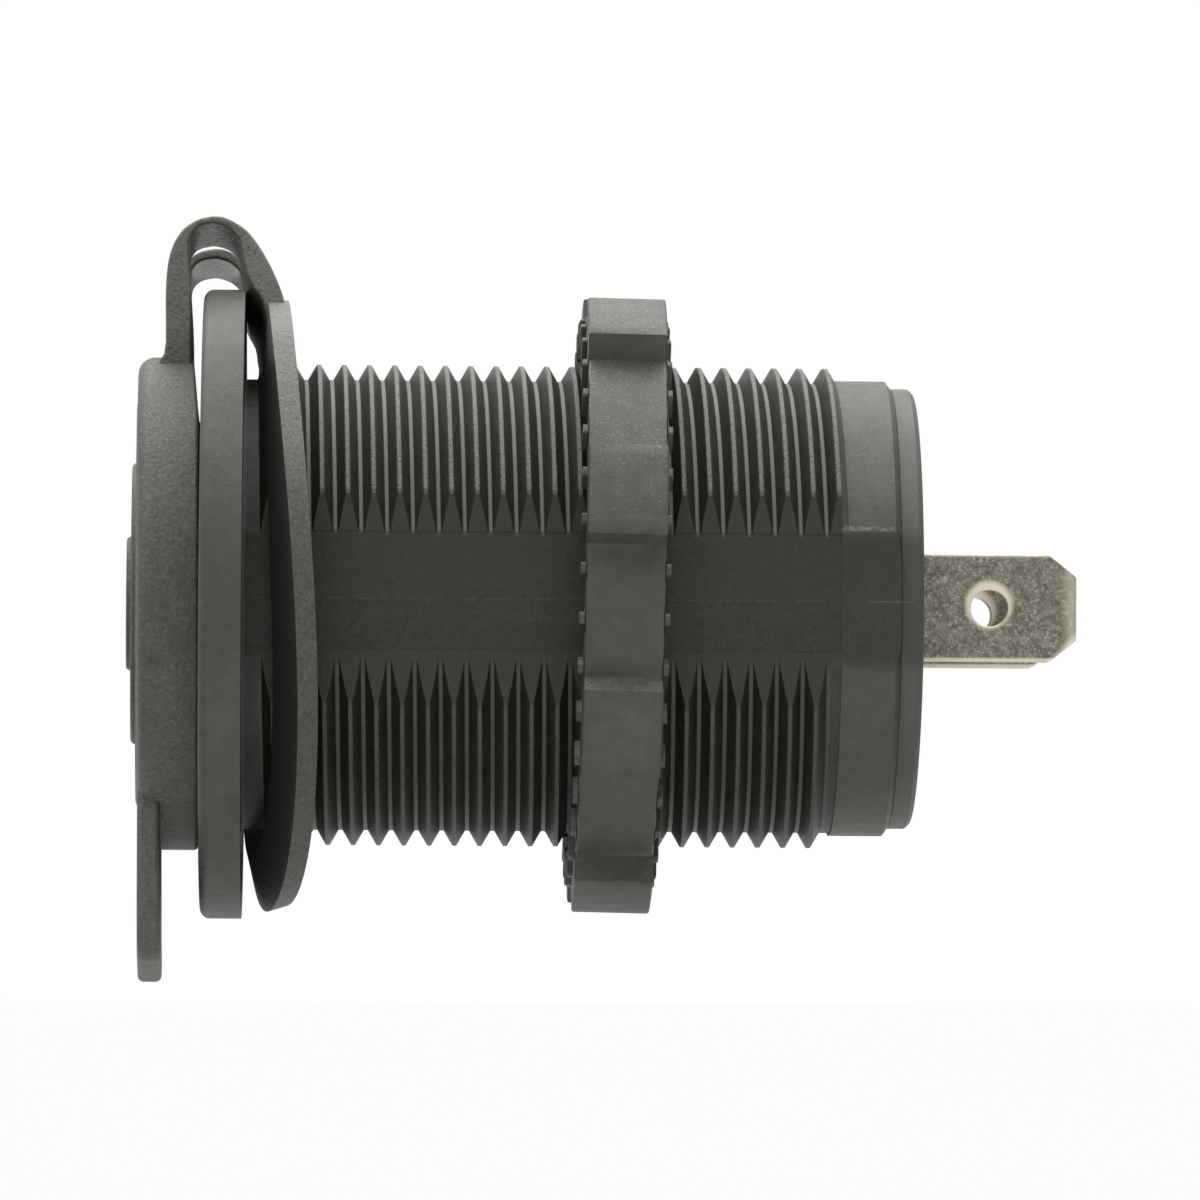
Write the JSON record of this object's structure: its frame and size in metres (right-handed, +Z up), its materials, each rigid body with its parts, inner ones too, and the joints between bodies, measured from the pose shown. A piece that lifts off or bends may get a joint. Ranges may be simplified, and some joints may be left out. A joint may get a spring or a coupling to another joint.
{
  "type": "cigarette lighter socket",
  "caption": "Round flush-mount lighter socket: flanged barrel threaded between two flats, grip ring nut, rubber sealing ring with a strap to its dust cap, and flat blade terminals.",
  "frame": {"origin": "on the socket's axis, in the plane of the flange's rear face, which seats on the panel", "axes": "+X along the axis from the mouth to the blade terminals, +Z up, the barrel's flats face +Y and -Y"},
  "size_m": [0.0559, 0.0372, 0.0453],
  "materials": {
    "housing_plastic": "black glass-filled moulding with a fine grain",
    "nut_plastic": "black satin moulding",
    "rubber": "black soft rubber, faintly pebbled",
    "nickel_plate": "nickel plate, slightly mottled",
    "brass": "plain brass",
    "insulation": "brown insulating board"
  },
  "bodies": {
    "socket": {"housing": "housing_plastic", "rear_cover": "housing_plastic", "sealing_ring": "rubber", "contact_sleeve": "nickel_plate", "insulating_bush": "insulation", "centre_contact": "brass", "centre_rivet": "brass", "positive_terminal": "nickel_plate", "negative_terminal": "nickel_plate", "ground_rivet": "brass"},
    "cap": {"dust_cap": "rubber"},
    "nut": {"ring_nut": "nut_plastic"}
  },
  "joints": [
    {"name": "cap_hinge", "type": "hinge", "parent": "socket", "child": "cap", "pos_m": [-0.00182, 0.00384, 0.02178], "axis": [0, 0.9848, -0.1736], "range_deg": [0, 160]},
    {"name": "nut_travel", "type": "slide", "parent": "socket", "child": "nut", "axis": [1, 0, 0], "range_m": [-0.014, 0.0095]}
  ]
}
